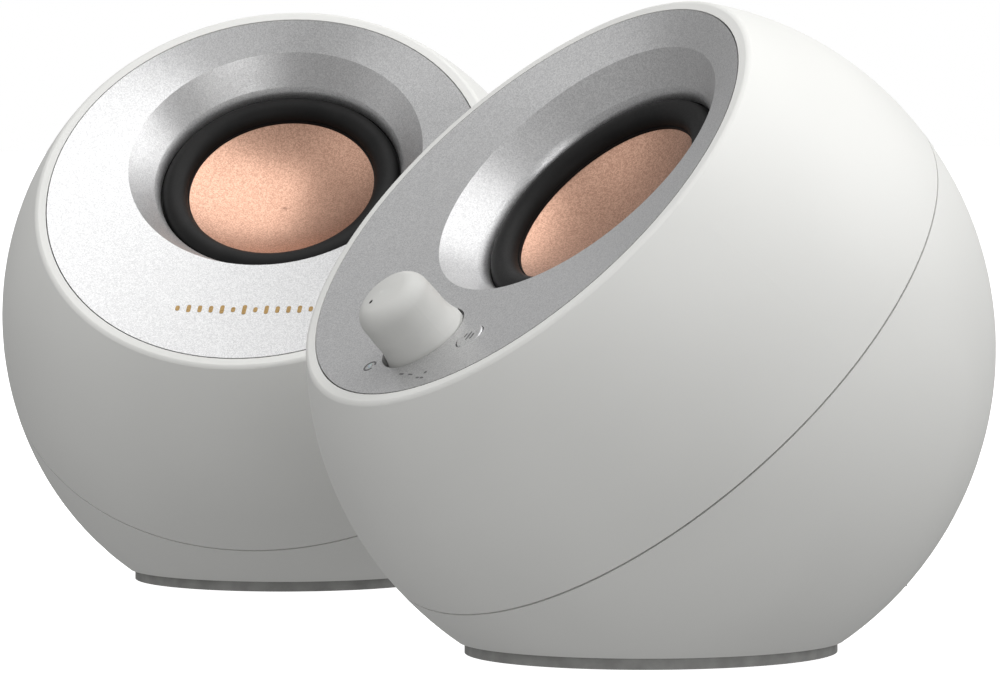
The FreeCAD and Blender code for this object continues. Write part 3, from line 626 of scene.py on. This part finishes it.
def levels(node, matrix):
    """Lowest and highest point of a node in a frame, and its least and greatest radius about Z."""
    inverse = matrix.inverted()
    points = [inverse @ v.co for v in frame["nodes"][node].data.vertices]
    radii = [math.hypot(p.x, p.y) for p in points]
    return min(p.z for p in points), max(p.z for p in points), min(radii), max(radii)


def make_roll(side, what, matrix, out, sizes):
    """A rubber half roll between a fixed frame and a moving disc."""
    node = f"{side}_{what}_surround"
    _, crown, inner_lip, outer_lip = levels(node, matrix)
    skin = sizes.skin
    if what == "driver":
        disc_edge = levels(f"{side}_driver_cone", matrix)[3]
        inner, outer, inner_z = disc_edge - DRIVER_LAP, disc_edge + ROLL_REACH, skin
    else:
        disc_edge = levels(f"{side}_radiator_plate", matrix)[3]
        inner, outer, inner_z = disc_edge + RADIATOR_SLACK, disc_edge + ROLL_REACH, 0.0
    half = (outer - inner) / 2
    # The crest stands half its width above the mean of the two lips, which gives the outer lip's height.
    outer_z = 2 * (crown - half) - inner_z
    profile = half_roll_profile(inner_lip, inner, outer, outer_lip, inner_z, outer_z, half * ROLL_FULLNESS, skin)
    # Each sector is turned on its own and they are then welded.
    sectors = []
    step = 2 * math.pi / sizes.roll_sectors
    for i in range(sizes.roll_sectors):
        bm = lathe_sector(profile, matrix, i * step, (i + 1) * step, sizes.sector_facets)
        sector = new_object(f"{node}_sector", bm, material_for("rubber"), math.radians(50))
        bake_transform(sector)
        sectors.append(sector)
    roll = welded(sectors, f"{side}_{what}_half_roll")
    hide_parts(node)


def radiator_frame(side):
    """Origin on the radiator's axis at the back of its disc, where the roll's lip is glued."""
    out = back_of(side)
    centre = axis_point(f"{side}_radiator_plate", out)
    plate = frame["nodes"][f"{side}_radiator_plate"]
    edge = radius_of(f"{side}_radiator_plate", out)
    rim = [v.co.dot(out) for v in plate.data.vertices if radius_from(v.co, centre, out) > edge - 0.05 * MM]
    return frame_on(centre + out * (min(rim) - centre.dot(out)), out)


def radius_from(point, centre, axis):
    across = (point - centre) - axis * (point - centre).dot(axis)
    return across.length


class SPEAKERS_OT_radiators(bpy.types.Operator):
    """Finish the passive radiators on the back, with their rubber rolls"""
    bl_idname = "speakers.radiators"
    bl_label = "Passive radiators"

    def execute(self, context):
        sizes = context.scene.speaker_sizes
        finish_nodes(("radiator_frame", "radiator_plate", "radiator_surround"))
        for side in SIDES:
            make_roll(side, "radiator", radiator_frame(side), back_of(side), sizes)
        return {"FINISHED"}


class SPEAKERS_OT_controls(bpy.types.Operator):
    """Finish the volume knob, source button and lamp, and print the small signs beside them"""
    bl_idname = "speakers.controls"
    bl_label = "Controls"

    def execute(self, context):
        sizes = context.scene.speaker_sizes
        finish_nodes(("volume_knob", "knob_pointer", "source_button", "led_lens"))
        ink = printed_ink("ink_pad_printed_grey", "#4F4F50", "#6A6A6B")
        matrix = face_frame("right")
        stroke = sizes.stroke
        here = matrix.inverted() @ axis_point("led_lens", normal_of("right"))
        lamp = film("print_lamp_ring", [arc_band(here.x, here.y, LAMP_RING_R, stroke, 20, 340)], matrix,
                    "right_face_plate", ink)
        signs = [bar(x * MM, here.y - 1.3 * MM, 1.3 * MM, stroke) for x in (5.1, 7.9)]
        signs += [bar(x * MM, here.y - 2.0 * MM, 0.95 * MM, stroke) for x in (11.1, 12.4)]
        signs.append(dot(11.8 * MM, here.y - 0.6 * MM, stroke * 0.9))
        source = film("print_source_signs", signs, matrix, "right_face_plate", ink)
        for piece in (lamp, source):
            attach(piece, "right_speaker")
        key = matrix.inverted() @ axis_point("source_button", normal_of("right"))
        lines = [bar(key.x + dx * MM, key.y, stroke, h * MM) for dx, h in ((-0.9, 0.9), (0, 1.9), (0.9, 1.3))]
        sign = film("print_button_sign", lines, matrix, "source_button", ink)
        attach(sign, "source_button")
        return {"FINISHED"}


class SPEAKERS_OT_mark(bpy.types.Operator):
    """Foil a row of level bars on the second speaker's plate, as a plain ornament"""
    bl_idname = "speakers.mark"
    bl_label = "Foiled mark"

    def execute(self, context):
        sizes = context.scene.speaker_sizes
        # Hot foil, stamped: thin dull gold that turns brown where it faces away from the light.
        foil = printed_ink("foil_stamped_dull_gold", "#7E6236", "#A98A55", metallic=0.55, roughness=0.42)
        count = sizes.mark_bars
        pitch = sizes.mark_width / (count - 1)
        loops = []
        for i in range(count):
            t = 2 * i / (count - 1) - 1
            swing = 0.42 + 0.58 * abs(math.cos(2.6 * math.pi * t)) * (1 - 0.35 * abs(t))
            loops.append(bar(t * sizes.mark_width / 2, -sizes.mark_drop, pitch * 0.38, sizes.mark_height * swing))
        mark = film("foil_level_bars", loops, face_frame("left"), "left_face_plate", foil)
        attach(mark, "left_speaker")
        return {"FINISHED"}


class SPEAKERS_OT_feet(bpy.types.Operator):
    """Finish the rubber feet, the plates inside them and the gain switch below the main speaker"""
    bl_idname = "speakers.feet"
    bl_label = "Feet"

    def execute(self, context):
        finish_nodes(("foot_ring", "base_plate", "base_screws", "gain_switch", "gain_slider"))
        return {"FINISHED"}


class SPEAKERS_OT_sockets(bpy.types.Operator):
    """Finish the socket panels, the cable glands and the auxiliary input, and print the input's sign"""
    bl_idname = "speakers.sockets"
    bl_label = "Sockets"

    def execute(self, context):
        sizes = context.scene.speaker_sizes
        finish_nodes(("socket_panel", "link_gland", "usb_gland", "aux_jack"))
        out = back_of("right")
        ink = printed_ink("ink_pad_printed_white", "#B9B9B9", "#D8D8D8")
        matrix = frame_on(middle("aux_jack"), out)
        height = 4.9 * MM
        loops = [arc_band(0, height, 0.8 * MM, sizes.stroke * 0.8, 200, 520), dot(0, height, 0.3 * MM)]
        sign = film("print_input_sign", loops, matrix, "right_socket_panel", ink)
        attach(sign, "right_speaker")
        return {"FINISHED"}


class SPEAKERS_OT_works(bpy.types.Operator):
    """Finish the works inside: baskets, magnets, coils, spiders, boards and screws"""
    bl_idname = "speakers.works"
    bl_label = "Inner works"

    def execute(self, context):
        finish_nodes(("driver_basket", "driver_gasket", "driver_screws", "voice_coil", "spider", "top_plate",
                      "magnet", "pole_yoke", "shell_screws", "volume_shaft", "potentiometer", "button_switch",
                      "control_board", "amplifier_board", "board_parts", "board_screws"))
        return {"FINISHED"}


# ---------------------------------------------------------------- the studio
def area_light(name, at, towards, size, watts):
    data = bpy.data.lights.new(name, "AREA")
    data.shape = "RECTANGLE"
    data.size, data.size_y = size
    data.energy = watts
    obj = bpy.data.objects.new(name, data)
    bpy.context.scene.collection.objects.link(obj)
    obj.location = at
    obj.rotation_euler = (towards - at).to_track_quat("-Z", "Y").to_euler()


def make_world():
    """A plain white studio: even light from above, dimmer light from below the horizon."""
    world = bpy.data.worlds.new("studio_air")
    world.use_nodes = True
    tree = world.node_tree
    tree.nodes.clear()
    place = add_node(tree, "ShaderNodeTexCoord")
    split = add_node(tree, "ShaderNodeSeparateXYZ", links={"Vector": place.outputs["Generated"]})
    ramp = add_node(tree, "ShaderNodeValToRGB", links={"Fac": spread(tree, split.outputs["Z"], 0.5, 1.0)})
    ramp.color_ramp.elements[0].position = 0.35
    ramp.color_ramp.elements[0].color = (0.25, 0.25, 0.25, 1)
    ramp.color_ramp.elements[1].position = 0.8
    ramp.color_ramp.elements[1].color = (0.5, 0.5, 0.5, 1)
    light = add_node(tree, "ShaderNodeBackground", links={"Color": ramp.outputs["Color"]})
    white = add_node(tree, "ShaderNodeBackground", inputs={"Color": (1, 1, 1, 1)})
    ray = add_node(tree, "ShaderNodeLightPath")
    mix = add_node(tree, "ShaderNodeMixShader", links={0: ray.outputs["Is Camera Ray"], 1: light.outputs[0],
                                                       2: white.outputs[0]})
    add_node(tree, "ShaderNodeOutputWorld", links={"Surface": mix.outputs[0]})
    return world


class SPEAKERS_OT_studio(bpy.types.Operator):
    """Build the pale floor, the soft lights and the camera"""
    bl_idname = "speakers.studio"
    bl_label = "Studio"

    def execute(self, context):
        scene = context.scene
        sizes = scene.speaker_sizes
        scene.world = make_world()
        scene.view_settings.view_transform = "Standard"
        scene.view_settings.look = "None"
        self.floor(sizes)
        foot = middle("right_foot_ring")
        base = Vector((foot.x, foot.y, 0))
        self.lights(base)
        self.camera(scene, base, sizes)
        return {"FINISHED"}

    def floor(self, sizes):
        half = sizes.floor_size / 2
        bm = bmesh.new()
        corners = [bm.verts.new((x * half, y * half, -0.0002)) for x, y in ((-1, -1), (1, -1), (1, 1), (-1, 1))]
        bm.faces.new(corners)
        bmesh.ops.subdivide_edges(bm, edges=bm.edges[:], cuts=6, use_grid_fill=True)
        # Opal acrylic table, lit from below, so that it stays evenly white and takes no shadow.
        material, tree, shader, place = new_material("acrylic_opal_lit", Roughness=0.9, Emission_Strength=1.0,
                                                     Emission_Color=(1, 1, 1, 1))
        tree.links.new(two_tone(tree, place, 60.0, "#F4F4F4", "#F8F8F8"), shader.inputs["Base Color"])
        floor = new_object("floor", bm, material)
        floor.visible_diffuse = False
        floor.visible_glossy = False

    def lights(self, base):
        side = VIEW_ALONG.cross(Z).normalized()
        for name, right, away, up, size, watts in SOFT_LIGHTS:
            area_light(name, base + side * right + VIEW_ALONG * away + Z * up, base + LIGHT_AIM, size, watts)

    def camera(self, scene, base, sizes):
        data = bpy.data.cameras.new("studio_camera")
        data.lens = sizes.lens_mm
        data.sensor_width = 36.0
        data.clip_start = 0.01
        data.clip_end = 100.0
        obj = bpy.data.objects.new("studio_camera", data)
        scene.collection.objects.link(obj)
        obj.location = base + CAMERA_AT
        obj.rotation_euler = VIEW_ALONG.to_track_quat("-Z", "Y").to_euler()
        scene.camera = obj


# ---------------------------------------------------------------- panel and registration
OPERATORS = (
    SPEAKERS_OT_shells, SPEAKERS_OT_face_plates, SPEAKERS_OT_drivers, SPEAKERS_OT_radiators,
    SPEAKERS_OT_controls, SPEAKERS_OT_mark, SPEAKERS_OT_feet, SPEAKERS_OT_sockets, SPEAKERS_OT_works,
    SPEAKERS_OT_studio,
)


class SPEAKERS_PT_panel(bpy.types.Panel):
    """Settings and steps of the speaker finisher"""
    bl_idname = "SPEAKERS_PT_panel"
    bl_label = "Desktop speakers"
    bl_space_type = "VIEW_3D"
    bl_region_type = "UI"
    bl_category = "Speakers"

    def draw(self, context):
        layout = self.layout
        for group in (context.scene.speaker_colours, context.scene.speaker_sizes):
            box = layout.box()
            for name in group.bl_rna.properties.keys():
                if name not in ("rna_type", "name"):
                    box.prop(group, name)
        for operator in OPERATORS:
            layout.operator(operator.bl_idname)


CLASSES = (SpeakerColours, SpeakerSizes) + OPERATORS + (SPEAKERS_PT_panel,)


def register():
    for cls in CLASSES:
        bpy.utils.register_class(cls)
    bpy.types.Scene.speaker_colours = PointerProperty(type=SpeakerColours)
    bpy.types.Scene.speaker_sizes = PointerProperty(type=SpeakerSizes)


def unregister():
    del bpy.types.Scene.speaker_sizes
    del bpy.types.Scene.speaker_colours
    for cls in reversed(CLASSES):
        bpy.utils.unregister_class(cls)


def main():
    register()
    bpy.ops.speakers.shells()
    bpy.ops.speakers.face_plates()
    bpy.ops.speakers.drivers()
    bpy.ops.speakers.radiators()
    bpy.ops.speakers.controls()
    bpy.ops.speakers.mark()
    bpy.ops.speakers.feet()
    bpy.ops.speakers.sockets()
    bpy.ops.speakers.works()
    bpy.ops.speakers.studio()
    bpy.context.view_layer.update()


if __name__ == "__main__":
    main()
